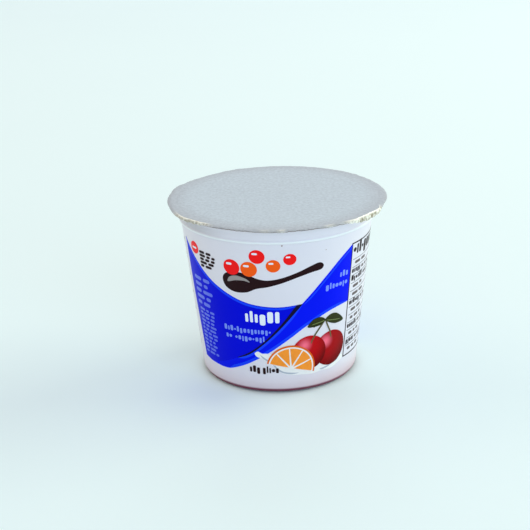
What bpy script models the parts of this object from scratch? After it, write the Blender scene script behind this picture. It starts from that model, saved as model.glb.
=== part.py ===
"""A single-serve yogurt pot: a tapered plastic cup, shut by a heat-sealed foil lid.

Metres, with +Z up. The origin is the centre of the foot ring, on the surface that the
pot stands on. The front of the label faces -Y. Azimuths are in degrees, counted
anticlockwise from +X as seen from above, so the front is at -90.

The cup is full and shut, and nobody can see into it, so it is one solid up to the
flange that the lid is sealed to. The lid is a separate thin sheet above the flange.
"""

import math
from dataclasses import dataclass

import bmesh
import bpy

MM = 0.001

OVERALL_HEIGHT = 56.0 * MM
LID_RADIUS = 34.0 * MM

FOIL_THICKNESS = 0.2 * MM
SEAL_GAP = 0.3 * MM
SEAL_RING_RADIUS = 31.4 * MM
SEAL_RING_WIDTH = 0.8 * MM
SEAL_RING_DEPTH = 0.08 * MM
FOIL_SEGMENTS = 180

FLANGE_RADIUS = 32.8 * MM
FLANGE_THICKNESS = 1.1 * MM
FLANGE_EDGE_RADIUS = 0.45 * MM
FLANGE_UNDER_FILLET = 0.8 * MM

NECK_RADIUS_TOP = 30.8 * MM
LEDGE_RADIUS = 30.45 * MM
LEDGE_HEIGHT = 50.9 * MM
LEDGE_ROLL = 0.35 * MM
NECK_FOOT_ABOVE_LEDGE = 0.7 * MM

WALL_RADIUS_AT_FLOOR = 24.4 * MM
WALL_SLOPE = 0.106
WALL_TOP = 50.2 * MM
WALL_RINGS = 6

HEEL_RADIUS = 1.8 * MM
FOOT_RING_WIDTH = 1.6 * MM
RECESS_DEPTH = 1.3 * MM
RECESS_SLOPE_WIDTH = 1.2 * MM
RECESS_SLOPE_STEPS = 3
POT_SEGMENTS = 96

WHITE_PLASTIC = (0.80, 0.85, 0.90, 1.0)
FOIL_SILVER = (0.55, 0.62, 0.66, 1.0)


def smooth_step(share):
    """Rises smoothly from 0 to 1 as the share does, level at both ends."""
    share = min(max(share, 0.0), 1.0)
    return share * share * (3.0 - 2.0 * share)


@dataclass(frozen=True)
class Fold:
    """A stretch of the lid's overhang that is pressed down beside the flange.

    It starts at one azimuth, is deepest at another and ends at a third.
    """

    start: float
    deepest: float
    end: float
    depth: float

    def depth_at(self, azimuth):
        """How far this fold presses the edge down at an azimuth."""
        if azimuth <= self.deepest:
            share = (azimuth - self.start) / (self.deepest - self.start)
        else:
            share = (self.end - azimuth) / (self.end - self.deepest)
        return self.depth * smooth_step(share)


EDGE_DROOP = 0.3 * MM
FOLDS = (
    Fold(-156.0, -142.0, -119.0, 1.75 * MM),
    Fold(-99.0, -93.0, -87.0, 0.6 * MM),
    Fold(-61.0, -41.0, -28.0, 1.85 * MM),
)
FULL_FOLD_DEPTH = 1.2 * MM
OVERHANG_STEPS = 3
CREASE_INSET_FLAT = 1.5 * MM
CREASE_INSET_FOLDED = 0.55 * MM
CRIMP_DEPTH = 0.12 * MM
CRIMPS_PER_TURN = 30
OUTLINE_WAVE = 0.3 * MM
OUTLINE_WAVES_PER_TURN = 7


def wall_radius(height):
    """The outer radius of the tapered wall at a height."""
    return WALL_RADIUS_AT_FLOOR + WALL_SLOPE * height


def arc(centre, radius, start, end, steps):
    """Points of an arc in the (radius, height) plane, from one angle to another."""
    points = []
    for step in range(steps + 1):
        angle = math.radians(start + (end - start) * step / steps)
        points.append(
            (
                centre[0] + radius * math.cos(angle),
                centre[1] + radius * math.sin(angle),
            )
        )
    return points


def flange_points():
    """The sealing flange: its flat top, rounded edge and underside."""
    top = OVERALL_HEIGHT - FOIL_THICKNESS - SEAL_GAP
    bottom = top - FLANGE_THICKNESS
    edge = FLANGE_RADIUS - FLANGE_EDGE_RADIUS
    upper = arc((edge, top - FLANGE_EDGE_RADIUS), FLANGE_EDGE_RADIUS, 90, 0, 3)
    lower = arc((edge, bottom + FLANGE_EDGE_RADIUS), FLANGE_EDGE_RADIUS, 0, -90, 3)
    fillet = arc(
        (NECK_RADIUS_TOP + FLANGE_UNDER_FILLET, bottom - FLANGE_UNDER_FILLET),
        FLANGE_UNDER_FILLET,
        90,
        180,
        3,
    )
    return [(0.0, top)] + upper + lower + fillet


def ledge_points():
    """The small rolled step where the neck meets the tapered wall."""
    centre = (LEDGE_RADIUS - LEDGE_ROLL, LEDGE_HEIGHT)
    neck_foot = (LEDGE_RADIUS, LEDGE_HEIGHT + NECK_FOOT_ABOVE_LEDGE)
    return [neck_foot] + arc(centre, LEDGE_ROLL, 20, -60, 3)


def wall_points():
    """The straight tapered wall, from under the ledge to above the rounded heel."""
    ring_step = (WALL_TOP - HEEL_RADIUS) / WALL_RINGS
    heights = [WALL_TOP - ring_step * ring for ring in range(WALL_RINGS + 1)]
    return [(wall_radius(height), height) for height in heights]


def foot_points():
    """The rounded heel, the flat foot ring and the shallow recess of the underside."""
    heel_centre = wall_radius(HEEL_RADIUS) - HEEL_RADIUS
    heel = arc((heel_centre, HEEL_RADIUS), HEEL_RADIUS, 0, -90, 5)[1:]
    ring_inside = heel_centre - FOOT_RING_WIDTH
    slope = []
    for step in range(RECESS_SLOPE_STEPS + 1):
        share = step / RECESS_SLOPE_STEPS
        rise = RECESS_DEPTH * smooth_step(share)
        slope.append((ring_inside - RECESS_SLOPE_WIDTH * share, rise))
    return heel + slope + [(0.0, RECESS_DEPTH)]


def new_object(name, mesh_builder, material, smooth_angle):
    """Makes an object from a filled bmesh, shaded smooth up to an angle."""
    mesh = bpy.data.meshes.new(name)
    mesh_builder.to_mesh(mesh)
    mesh_builder.free()
    mesh.shade_smooth()
    mesh.set_sharp_from_angle(angle=math.radians(smooth_angle))
    mesh.materials.append(material)
    new = bpy.data.objects.new(name, mesh)
    bpy.context.scene.collection.objects.link(new)
    return new


def make_pot(material):
    """Turns the pot's outline round its axis."""
    outline = flange_points() + ledge_points() + wall_points() + foot_points()
    turned = bmesh.new()
    corners = [turned.verts.new((radius, 0.0, height)) for radius, height in outline]
    edges = [turned.edges.new(pair) for pair in zip(corners, corners[1:])]
    bmesh.ops.spin(
        turned,
        geom=corners + edges,
        cent=(0.0, 0.0, 0.0),
        axis=(0.0, 0.0, 1.0),
        angle=2.0 * math.pi,
        steps=POT_SEGMENTS,
        use_merge=True,
    )
    bmesh.ops.remove_doubles(turned, verts=turned.verts, dist=0.001 * MM)
    bmesh.ops.recalc_face_normals(turned, faces=turned.faces)
    return new_object("pot", turned, material, 35.0)


def folded_depth(azimuth):
    """How much further than its plain droop the edge is folded down at an azimuth."""
    return sum(fold.depth_at(azimuth) for fold in FOLDS)


def folded_share(azimuth):
    """0 where the overhang stands out flat, 1 where it is pressed right down."""
    return min(folded_depth(azimuth) / FULL_FOLD_DEPTH, 1.0)


def edge_drop(azimuth):
    """How far the lid's edge hangs below its flat top at an azimuth."""
    crimp = CRIMP_DEPTH * math.sin(math.radians(azimuth) * CRIMPS_PER_TURN)
    return EDGE_DROOP + folded_depth(azimuth) + crimp * folded_share(azimuth)


def edge_radius(azimuth):
    """The outline of the trimmed foil, round but for a slight wave.

    The wave fades out at the four sides, so that the lid stays centred on the pot.
    """
    turn = math.radians(azimuth)
    fade = 0.5 - 0.5 * math.cos(4.0 * turn)
    wave = 0.5 - 0.5 * math.cos(OUTLINE_WAVES_PER_TURN * turn)
    return LID_RADIUS - OUTLINE_WAVE * fade * wave


def lid_section(azimuth):
    """The lid's top surface at an azimuth, as (radius, height) from inside to edge.

    A pressed seal ring runs just inside the overhang, which bends down from its crease
    to the trimmed edge as a quarter of an ellipse.
    """
    top = OVERALL_HEIGHT
    drop = edge_drop(azimuth)
    narrowing = (CREASE_INSET_FLAT - CREASE_INSET_FOLDED) * folded_share(azimuth)
    inset = CREASE_INSET_FLAT - narrowing
    crease = edge_radius(azimuth) - inset
    half_ring = SEAL_RING_WIDTH / 2.0
    section = [
        (SEAL_RING_RADIUS - half_ring, top),
        (SEAL_RING_RADIUS, top - SEAL_RING_DEPTH),
        (SEAL_RING_RADIUS + half_ring, top),
    ]
    for step in range(OVERHANG_STEPS + 1):
        angle = math.radians(90.0 * step / OVERHANG_STEPS)
        bend = 1.0 - math.cos(angle)
        section.append((crease + inset * math.sin(angle), top - drop * bend))
    return section


def make_lid(material):
    """Builds the foil's top surface ring by ring and gives it its thickness."""
    foil = bmesh.new()
    centre = foil.verts.new((0.0, 0.0, OVERALL_HEIGHT))
    spokes = []
    for segment in range(FOIL_SEGMENTS):
        azimuth = -180.0 + 360.0 * segment / FOIL_SEGMENTS
        turn = math.radians(azimuth)
        spokes.append(
            [
                foil.verts.new((radius * math.cos(turn), radius * math.sin(turn), height))
                for radius, height in lid_section(azimuth)
            ]
        )
    for here, there in zip(spokes, spokes[1:] + spokes[:1]):
        foil.faces.new((centre, here[0], there[0]))
        for ring in range(len(here) - 1):
            foil.faces.new((here[ring], here[ring + 1], there[ring + 1], there[ring]))
    lid = new_object("foil_lid", foil, material, 50.0)
    thickness = lid.modifiers.new("Foil thickness", "SOLIDIFY")
    thickness.thickness = FOIL_THICKNESS
    thickness.offset = -1.0
    return lid


def finish(name, colour, roughness, metallic):
    """A Principled BSDF material of one colour."""
    material = bpy.data.materials.new(name)
    material.use_nodes = True
    shader = material.node_tree.nodes["Principled BSDF"]
    shader.inputs["Base Color"].default_value = colour
    shader.inputs["Roughness"].default_value = roughness
    shader.inputs["Metallic"].default_value = metallic
    material.diffuse_color = colour
    return material


def main():
    """Clears the scene and makes the two pieces."""
    for old in list(bpy.data.objects):
        bpy.data.objects.remove(old, do_unlink=True)
    make_pot(finish("White plastic", WHITE_PLASTIC, 0.3, 0.0))
    make_lid(finish("Sealing foil", FOIL_SILVER, 0.45, 0.6))


main()
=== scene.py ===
"""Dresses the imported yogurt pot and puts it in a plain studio.

The moulded cup and the sealing foil are modelled again with fine surfaces and stand for
the two solids. The print is made of thin layers of ink that hug the wall, drawn flat in
millimetres, sliced into narrow strips and wrapped. Lengths are in metres unless a name or
a comment says millimetres. Azimuths count anticlockwise from +X, as seen from above.
"""

import logging
import math
import random
from collections.abc import Iterable, Sequence
from dataclasses import dataclass, field
from enum import Enum

import bpy
from mathutils import Matrix, Vector, noise


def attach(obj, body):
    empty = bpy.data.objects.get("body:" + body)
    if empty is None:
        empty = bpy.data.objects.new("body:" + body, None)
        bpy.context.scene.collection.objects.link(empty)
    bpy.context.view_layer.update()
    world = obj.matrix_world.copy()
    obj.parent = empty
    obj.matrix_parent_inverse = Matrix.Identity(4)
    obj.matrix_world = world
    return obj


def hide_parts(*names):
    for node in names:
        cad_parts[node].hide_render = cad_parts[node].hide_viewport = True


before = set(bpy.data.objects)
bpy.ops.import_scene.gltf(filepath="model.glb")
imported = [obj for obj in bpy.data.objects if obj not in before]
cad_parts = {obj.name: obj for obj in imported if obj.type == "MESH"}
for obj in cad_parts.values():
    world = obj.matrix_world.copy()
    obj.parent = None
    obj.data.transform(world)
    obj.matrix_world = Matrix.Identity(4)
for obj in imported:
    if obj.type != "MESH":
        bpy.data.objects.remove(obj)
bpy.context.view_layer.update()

MM = 0.001
ROOT = "root"
LOG = logging.getLogger("yogurt_pot")

# Steps in a rounded edge or between two knots, then how blocks' corners and strips' tips run
CURVE_STEPS = 6
CORNER_SHARE = 0.35
TAPER_TIP = 0.05
TAPER_SHARE = 0.125

Point = tuple[float, float]
Colour = tuple[float, float, float, float]


def shade(red: int, green: int, blue: int) -> Colour:
    """Turns a colour of 0 to 255 a channel into the linear colour that shaders take.

    Args:
        red: The red channel.
        green: The green channel.
        blue: The blue channel.

    Returns:
        The linear colour, opaque.
    """
    channels = []
    for value in (red, green, blue):
        part = value / 255.0
        channels.append(part / 12.92 if part <= 0.04045 else ((part + 0.055) / 1.055) ** 2.4)
    return (channels[0], channels[1], channels[2], 1.0)


def ease(share: float) -> float:
    """Rises smoothly from 0 to 1 as the share does, level at both ends."""
    share = min(max(share, 0.0), 1.0)
    return share * share * (3.0 - 2.0 * share)


def arc_points(
    centre: Point, radius: float, start: float, end: float, steps: int = CURVE_STEPS
) -> list[Point]:
    """Gives points along an arc in a plane.

    Args:
        centre: The arc's centre.
        radius: Its radius.
        start: The first angle, in degrees.
        end: The last angle, in degrees.
        steps: How many steps to take.

    Returns:
        The points, both ends included.
    """
    points = []
    for step in range(steps + 1):
        angle = math.radians(start + (end - start) * step / steps)
        across = centre[0] + radius * math.cos(angle)
        points.append((across, centre[1] + radius * math.sin(angle)))
    return points


class NodeBoard:
    """Places and joins the nodes of one material or node group."""

    def __init__(self, tree: bpy.types.NodeTree) -> None:
        """Takes the tree that the nodes go into."""
        self.tree = tree

    def add(self, kind: str, **settings: object) -> bpy.types.Node:
        """Adds a node.

        Args:
            kind: The node's Blender type.
            **settings: Properties to set on it.

        Returns:
            The new node.
        """
        node = self.tree.nodes.new(kind)
        for name, value in settings.items():
            setattr(node, name, value)
        return node

    def join(self, source: bpy.types.NodeSocket, target: bpy.types.NodeSocket) -> None:
        """Links an output to an input."""
        self.tree.links.new(source, target)

    def feed(self, value: object, target: bpy.types.NodeSocket) -> None:
        """Links a socket to an input, or sets the input to a plain value."""
        if isinstance(value, bpy.types.NodeSocket):
            self.join(value, target)
        else:
            target.default_value = value

    def math(self, operation: str, first: object, second: object) -> bpy.types.NodeSocket:
        """Adds a math node.

        Args:
            operation: What it does, such as MULTIPLY.
            first: A socket or a number.
            second: A socket or a number.

        Returns:
            The result's socket.
        """
        node = self.add("ShaderNodeMath", operation=operation)
        self.feed(first, node.inputs[0])
        self.feed(second, node.inputs[1])
        return node.outputs[0]

    def mix(self, share: object, first: object, second: object) -> bpy.types.NodeSocket:
        """Adds a colour mix.

        Args:
            share: How much of the second colour, as a socket or a number.
            first: A colour or a socket.
            second: A colour or a socket.

        Returns:
            The mixed colour's socket.
        """
        node = self.add("ShaderNodeMix", data_type="RGBA")
        slots = (node.inputs["Factor"], node.inputs[6], node.inputs[7])
        for slot, value in zip(slots, (share, first, second)):
            self.feed(value, slot)
        return node.outputs[2]


class SurfaceGrain:
    """The shader group behind every finish: clouds of colour, gloss patches and grain."""

    NAME = "Surface grain"
    INPUTS = (
        ("Colour", "NodeSocketColor", (0.8, 0.8, 0.8, 1.0)),
        ("Variation", "NodeSocketFloat", 0.05),
        ("Cloud scale", "NodeSocketFloat", 150.0),
        ("Grain scale", "NodeSocketFloat", 4000.0),
        ("Roughness", "NodeSocketFloat", 0.3),
        ("Roughness spread", "NodeSocketFloat", 0.05),
    )
    OUTPUTS = (
        ("Colour", "NodeSocketColor"),
        ("Roughness", "NodeSocketFloat"),
        ("Height", "NodeSocketFloat"),
    )

    @classmethod
    def group(cls) -> bpy.types.NodeTree:
        """Returns the group, which is built the first time that it is asked for."""
        found = bpy.data.node_groups.get(cls.NAME)
        return found if found else cls._build()

    @classmethod
    def _build(cls) -> bpy.types.NodeTree:
        """Builds the group and returns it.

        Returns:
            The group, with its inputs, outputs and nodes.
        """
        tree = bpy.data.node_groups.new(cls.NAME, "ShaderNodeTree")
        for name, kind, default in cls.INPUTS:
            socket = tree.interface.new_socket(name, in_out="INPUT", socket_type=kind)
            socket.default_value = default
        for name, kind in cls.OUTPUTS:
            tree.interface.new_socket(name, in_out="OUTPUT", socket_type=kind)
        board = NodeBoard(tree)
        given = board.add("NodeGroupInput").outputs
        result = board.add("NodeGroupOutput").inputs
        place = board.add("ShaderNodeTexCoord").outputs["Object"]
        clouds = cls._noise(board, place, given["Cloud scale"], 3.0)
        grain = cls._noise(board, place, given["Grain scale"], 2.0)
        swing = board.math("SUBTRACT", clouds, 0.5)
        tone = board.math("MULTIPLY", swing, given["Variation"])
        light = board.math("ADD", tone, 1.0)
        tint = board.add("ShaderNodeVectorMath", operation="SCALE")
        board.join(given["Colour"], tint.inputs[0])
        board.join(light, tint.inputs["Scale"])
        board.join(tint.outputs[0], result["Colour"])
        gloss = board.math("MULTIPLY", swing, given["Roughness spread"])
        board.join(board.math("ADD", gloss, given["Roughness"]), result["Roughness"])
        board.join(grain, result["Height"])
        return tree

    @staticmethod
    def _noise(
        board: NodeBoard,
        place: bpy.types.NodeSocket,
        scale: bpy.types.NodeSocket,
        detail: float,
    ) -> bpy.types.NodeSocket:
        """Adds a noise texture.

        Args:
            board: Where it goes.
            place: The coordinates that it reads.
            scale: The socket that gives its scale.
            detail: Its octaves.

        Returns:
            The socket of its value.
        """
        texture = board.add("ShaderNodeTexNoise")
        texture.inputs["Detail"].default_value = detail
        board.join(place, texture.inputs["Vector"])
        board.join(scale, texture.inputs["Scale"])
        return texture.outputs["Fac"]


@dataclass(frozen=True)
class Finish:
    """A surface: its colour, its gloss, and how far both wander over it."""

    name: str
    colour: Colour
    roughness: float = 0.3
    metallic: float = 0.0
    variation: float = 0.05
    cloud_size: float = 8.0 * MM
    grain_size: float = 0.25 * MM
    roughness_spread: float = 0.06
    relief: float = 0.004 * MM
    specular: float = 0.5

    def paint(self, board: NodeBoard) -> bpy.types.NodeSocket | None:
        """Gives the socket of a colour that changes over the surface, or None."""
        return None

    def material(self) -> bpy.types.Material:
        """Builds the material.

        Returns:
            The material, with its grain group placed and joined.
        """
        made = bpy.data.materials.new(self.name)
        made.use_nodes = True
        board = NodeBoard(made.node_tree)
        shader = made.node_tree.nodes["Principled BSDF"]
        grain = board.add("ShaderNodeGroup", node_tree=SurfaceGrain.group())
        board.feed(self.paint(board) or self.colour, grain.inputs["Colour"])
        bump = board.add("ShaderNodeBump")
        for node, name, value in (
            (grain, "Variation", self.variation),
            (grain, "Cloud scale", 1.0 / self.cloud_size),
            (grain, "Grain scale", 1.0 / self.grain_size),
            (grain, "Roughness", self.roughness),
            (grain, "Roughness spread", self.roughness_spread),
            (bump, "Distance", self.relief),
            (bump, "Height", grain.outputs["Height"]),
            (shader, "Base Color", grain.outputs["Colour"]),
            (shader, "Roughness", grain.outputs["Roughness"]),
            (shader, "Normal", bump.outputs["Normal"]),
            (shader, "Metallic", self.metallic),
            (shader, "Specular IOR Level", self.specular),
        ):
            board.feed(value, node.inputs[name])
        made.diffuse_color = self.colour
        return made


@dataclass(frozen=True)
class TintedFinish(Finish):
    """A surface that takes other colours where the piece's own attributes say so."""

    tints: tuple[tuple[str, Colour], ...] = ()

    def paint(self, board: NodeBoard) -> bpy.types.NodeSocket:
        """Mixes each tint in by its attribute, the last one on top.

        Args:
            board: The material's nodes.

        Returns:
            The mixed colour's socket.
        """
        mixed = self.colour
        for name, colour in self.tints:
            share = board.add("ShaderNodeAttribute", attribute_name=name)
            mixed = board.mix(share.outputs["Fac"], mixed, colour)
        return mixed


@dataclass(frozen=True)
class RoundInk(Finish):
    """Ink that shades a printed fruit from a highlight to a dark rim."""

    roughness: float = 0.35
    variation: float = 0.25
    cloud_size: float = 2.0 * MM
    specular: float = 0.08
    bright: Colour = shade(250, 112, 136)
    dark: Colour = shade(84, 0, 0)
    middle: float = 0.3
    highlight: Point = (0.0, 0.0)
    reach: float = 6.0

    def paint(self, board: NodeBoard) -> bpy.types.NodeSocket:
        """Shades by the distance from the highlight, in the flat drawing's millimetres.

        Args:
            board: The material's nodes.

        Returns:
            The shaded colour's socket.
        """
        drawing = board.add("ShaderNodeUVMap", uv_map=InkLayer.MAP_NAME)
        move = board.add("ShaderNodeMapping")
        move.inputs["Location"].default_value = (-self.highlight[0], -self.highlight[1], 0.0)
        board.join(drawing.outputs["UV"], move.inputs["Vector"])
        away = board.add("ShaderNodeVectorMath", operation="LENGTH")
        board.join(move.outputs["Vector"], away.inputs[0])
        share = board.math("DIVIDE", away.outputs["Value"], self.reach)
        ramp = board.add("ShaderNodeValToRGB")
        ramp.color_ramp.interpolation = "EASE"
        ramp.color_ramp.elements[0].color = self.bright
        ramp.color_ramp.elements[1].color = self.dark
        ramp.color_ramp.elements.new(self.middle).color = self.colour
        board.join(share, ramp.inputs["Fac"])
        return ramp.outputs["Color"]


def deselect_all() -> None:
    """Leaves object mode with nothing selected."""
    if bpy.context.object and bpy.context.object.mode != "OBJECT":
        bpy.ops.object.mode_set(mode="OBJECT")
    bpy.ops.object.select_all(action="DESELECT")


def choose(piece: bpy.types.Object) -> None:
    """Makes one object the only selected one, and the active one."""
    deselect_all()
    piece.select_set(True)
    bpy.context.view_layer.objects.active = piece


def apply_modifiers(piece: bpy.types.Object) -> None:
    """Applies each modifier of a piece, in order."""
    choose(piece)
    for modifier in list(piece.modifiers):
        bpy.ops.object.modifier_apply(modifier=modifier.name)


def dress(piece: bpy.types.Object, finishes: Iterable[Finish]) -> None:
    """Gives a finished piece its materials and lets it ride on the pot.

    Args:
        piece: The finished mesh object.
        finishes: Its finishes, in the order of its material slots.
    """
    for finish in finishes:
        made = bpy.data.materials.get(finish.name)
        piece.data.materials.append(made if made else finish.material())
    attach(piece, ROOT)
    LOG.info("%s: %d faces", piece.name, len(piece.data.polygons))


class TurnedBody:
    """A surface of turning, raised from one circle by extruding it ring by ring."""

    def __init__(self, name: str, segments: int, start: Point) -> None:
        """Starts with a circle.

        Args:
            name: The object's name.
            segments: How many sides the circle has.
            start: Its radius and height.
        """
        deselect_all()
        bpy.ops.mesh.primitive_circle_add(vertices=segments, radius=start[0])
        self.piece = bpy.context.object
        self.piece.name = name
        self.piece.data.name = name
        self.radius, self.height = start
        bpy.ops.object.mode_set(mode="EDIT")
        bpy.ops.mesh.select_mode(type="EDGE")
        bpy.ops.mesh.select_all(action="SELECT")
        bpy.ops.transform.translate(value=(0.0, 0.0, self.height))

    def cap(self) -> None:
        """Closes the selected ring with a fan of triangles and selects the ring again."""
        bpy.ops.mesh.edge_face_add()
        bpy.ops.mesh.poke()
        bpy.ops.mesh.select_all(action="DESELECT")
        bpy.ops.object.mode_set(mode="OBJECT")
        mesh = self.piece.data
        for edge in mesh.edges:
            ends = [mesh.vertices[index].co for index in edge.vertices]
            on_rim = min(end.to_2d().length for end in ends) > 0.999 * self.radius
            edge.select = on_rim and abs(ends[0].z - self.height) < 0.001 * MM
        bpy.ops.object.mode_set(mode="EDIT")

    def ring(self, radius: float, height: float) -> None:
        """Extrudes the selected ring to a new radius and height."""
        lift = (0.0, 0.0, height - self.height)
        bpy.ops.mesh.extrude_edges_move(TRANSFORM_OT_translate={"value": lift})
        grow = radius / self.radius
        bpy.ops.transform.resize(value=(grow, grow, 1.0), center_override=(0.0, 0.0, 0.0))
        self.radius, self.height = radius, height

    def rings(self, outline: Iterable[Point]) -> None:
        """Extrudes through each radius and height in turn."""
        for radius, height in outline:
            self.ring(radius, height)

    def done(self) -> bpy.types.Object:
        """Turns every face outwards and leaves edit mode.

        Returns:
            The finished object.
        """
        bpy.ops.mesh.select_all(action="SELECT")
        bpy.ops.mesh.normals_make_consistent(inside=False)
        bpy.ops.object.mode_set(mode="OBJECT")
        return self.piece


@dataclass(frozen=True)
class Wall:
    """The tapered wall that the print lies on."""

    radius_at_floor: float = 24.4 * MM
    slope: float = 0.106
    drawing_radius: float = 27.0

    def radius(self, height: float) -> float:
        """Gives the wall's outer radius at a height."""
        return self.radius_at_floor + self.slope * height

    def place(self, across: float, up: float, lift: float) -> Vector:
        """Wraps a point of the flat drawing round the wall.

        Args:
            across: Millimetres to the right of the front's middle.
            up: Millimetres above the floor.
            lift: How far it stands off the wall, in metres.

        Returns:
            The point in space.
        """
        turn = across / self.drawing_radius - math.pi / 2.0
        height = up * MM
        radius = self.radius(height) + lift
        return Vector((radius * math.cos(turn), radius * math.sin(turn), height))


@dataclass
class Cup:
    """The moulded white cup, closed by its flange's flat top."""

    wall: Wall = Wall()
    top: float = 55.5 * MM
    flange_radius: float = 32.8 * MM
    flange_thickness: float = 1.1 * MM
    flange_edge: float = 0.45 * MM
    flange_fillet: float = 0.8 * MM
    neck_radius: float = 30.62 * MM
    neck_run: tuple[Point, ...] = (
        (30.48 * MM, 52.9 * MM), (30.3 * MM, 52.2 * MM), (30.21 * MM, 51.75 * MM), (30.22 * MM, 51.55 * MM)
    )
    neck_steps: int = 4
    bead_centre: Point = (29.94 * MM, 50.95 * MM)
    bead_radius: float = 0.56 * MM
    bead_turn: Point = (52.0, -75.0)
    bead_steps: int = 11
    # The painted highlight along the bead: its half width and how much of it is at full strength
    bead_highlight_half_width: float = 0.45 * MM
    bead_highlight_core: float = 1.2
    wall_top: float = 50.2 * MM
    wall_rings: int = 24
    heel: float = 1.8 * MM
    heel_turn: float = 44.0
    heel_steps: int = 10
    foot_inset: float = 0.1 * MM
    foot_lift: float = 0.62 * MM
    foot_chamfer: float = 0.1 * MM
    foot_width: float = 1.6 * MM
    recess_depth: float = 1.3 * MM
    recess_slope: float = 1.2 * MM
    recess_steps: int = 8
    recess_rings: int = 4
    gate_radius: float = 1.6 * MM
    gate_height: float = 0.35 * MM
    segments: int = 256
    smooth_angle: float = 35.0
    # Painted contact shadow along the foot: where it starts and where it is at full strength
    contact_shadow_top: float = 1.95 * MM
    contact_shadow_full: float = 1.2 * MM
    # Painted pink shade on the heel: how high it reaches, how strong it is, and round which side it is
    # strongest
    pink_shade_top: float = 8.5 * MM
    painted_pink_shade: float = 0.22
    pink_shade_azimuth: float = -30.0
    pink_shade_spread: float = 62.0
    # Painted shadow on the neck under the lid's left fold: where it is, how wide it is and how dark it is
    neck_shadow_azimuth: float = -148.0
    neck_shadow_spread: float = 34.0
    painted_neck_shadow: float = 0.34
    finish: Finish = TintedFinish(
        "White plastic",
        shade(227, 224, 233),
        roughness=0.38,
        variation=0.03,
        cloud_size=12.0 * MM,
        grain_size=0.8 * MM,
        relief=0.006 * MM,
        specular=0.4,
        tints=(
            # Painted highlight along the bead
            ("bead", shade(238, 243, 245)),
            # Painted pink shade on the heel
            ("painted_pink_shade", shade(196, 124, 126)),
            # Painted shadow on the neck under the lid's fold
            ("painted_neck_shadow", shade(120, 116, 106)),
            # Painted contact shadow along the foot
            ("painted_contact_shadow", shade(112, 40, 66)),
        ),
    )

    def outline(self) -> list[Point]:
        """Gives the cup's outline, from its flange's top edge down to the underside.

        Returns:
            The radius and height of each ring.
        """
        edge = self.flange_radius - self.flange_edge
        under = self.top - self.flange_thickness
        upper = arc_points((edge, self.top - self.flange_edge), self.flange_edge, 90, 0)
        lower = arc_points((edge, under + self.flange_edge), self.flange_edge, 0, -90)
        corner = (self.neck_radius + self.flange_fillet, under - self.flange_fillet)
        fillet = arc_points(corner, self.flange_fillet, 90, 180)
        neck = smooth_run(self.neck_run, self.neck_steps)
        bead = arc_points(self.bead_centre, self.bead_radius, *self.bead_turn, self.bead_steps)
        return upper + lower[1:] + fillet + neck + bead + self.wall_outline() + self.foot_outline()

    def wall_outline(self) -> list[Point]:
        """Gives the straight wall, from under the ledge to the heel."""
        step = (self.wall_top - self.heel) / self.wall_rings
        heights = [self.wall_top - step * ring for ring in range(self.wall_rings + 1)]
        return [(self.wall.radius(height), height) for height in heights]

    def foot_outline(self) -> list[Point]:
        """Gives the heel, the foot ring, the recess and the moulding's gate mark.

        Returns:
            The radius and height of each ring.
        """
        middle = self.wall.radius(self.heel) - self.heel
        heel = arc_points((middle, self.heel), self.heel, 0, -self.heel_turn, self.heel_steps)[1:]
        outside = middle + self.foot_inset
        heel += [(outside + self.foot_lift, self.foot_lift), (outside, 0.5 * self.foot_lift)]
        heel.append((outside - self.foot_chamfer, 0.0))
        inside = middle - self.foot_width
        slope = []
        for step in range(self.recess_steps + 1):
            share = step / self.recess_steps
            slope.append((inside - self.recess_slope * share, self.recess_depth * ease(share)))
        shares = [ring / self.recess_rings for ring in range(self.recess_rings - 1, 0, -1)]
        flat = [(share * inside, self.recess_depth) for share in shares]
        gate_foot = (self.gate_radius - self.gate_height, self.recess_depth - self.gate_height)
        return heel + slope + flat + [(self.gate_radius, self.recess_depth), gate_foot]

    def build(self) -> bpy.types.Object:
        """Raises the cup ring by ring and dresses it.

        Returns:
            The finished cup.
        """
        outline = self.outline()
        body = TurnedBody("cup", self.segments, outline[0])
        body.cap()
        body.rings(outline[1:])
        body.cap()
        cup = body.done()
        self.mark(cup)
        choose(cup)
        bpy.ops.object.shade_smooth_by_angle(angle=math.radians(self.smooth_angle))
        dress(cup, [self.finish])
        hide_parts("pot")
        return cup

    def mark(self, cup: bpy.types.Object) -> None:
        """Marks the painted highlight on the bead, the painted contact shadow and pink shade at the foot,
        and the painted shadow on the neck.

        Args:
            cup: The finished cup, which gets one attribute for each mark.
        """
        inner = self.wall.radius(0.0) - self.heel - 2.0 * self.foot_width
        marks = {"bead": [], "painted_pink_shade": [], "painted_neck_shadow": [], "painted_contact_shadow": []}
        for vertex in cup.data.vertices:
            radius, height = vertex.co.to_2d().length, vertex.co.z
            outside = ease((radius - inner) / self.foot_width)
            # Painted highlight along the bead
            off_bead = abs(height - self.bead_centre[1]) / self.bead_highlight_half_width
            marks["bead"].append(ease(self.bead_highlight_core - off_bead))
            azimuth = math.degrees(math.atan2(vertex.co.y, vertex.co.x))
            # Painted pink shade on the heel, fading upwards and strongest on the front right
            side = ease(1.0 - abs(azimuth - self.pink_shade_azimuth) / self.pink_shade_spread)
            faint = self.painted_pink_shade * (1.0 + side) * ease((self.pink_shade_top - height) / self.pink_shade_top)
            marks["painted_pink_shade"].append(faint * outside)
            # Painted shadow on the neck above the bead, under the lid's fold
            near = ease(1.0 - abs(azimuth - self.neck_shadow_azimuth) / self.neck_shadow_spread)
            above = ease((height - self.bead_centre[1]) / self.flange_thickness)
            marks["painted_neck_shadow"].append(self.painted_neck_shadow * near * above)
            # Painted contact shadow along the foot
            under = ease((self.contact_shadow_top - height) / (self.contact_shadow_top - self.contact_shadow_full))
            marks["painted_contact_shadow"].append(under * outside)
        for name, values in marks.items():
            cup.data.attributes.new(name, "FLOAT", "POINT").data.foreach_set("value", values)


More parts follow.
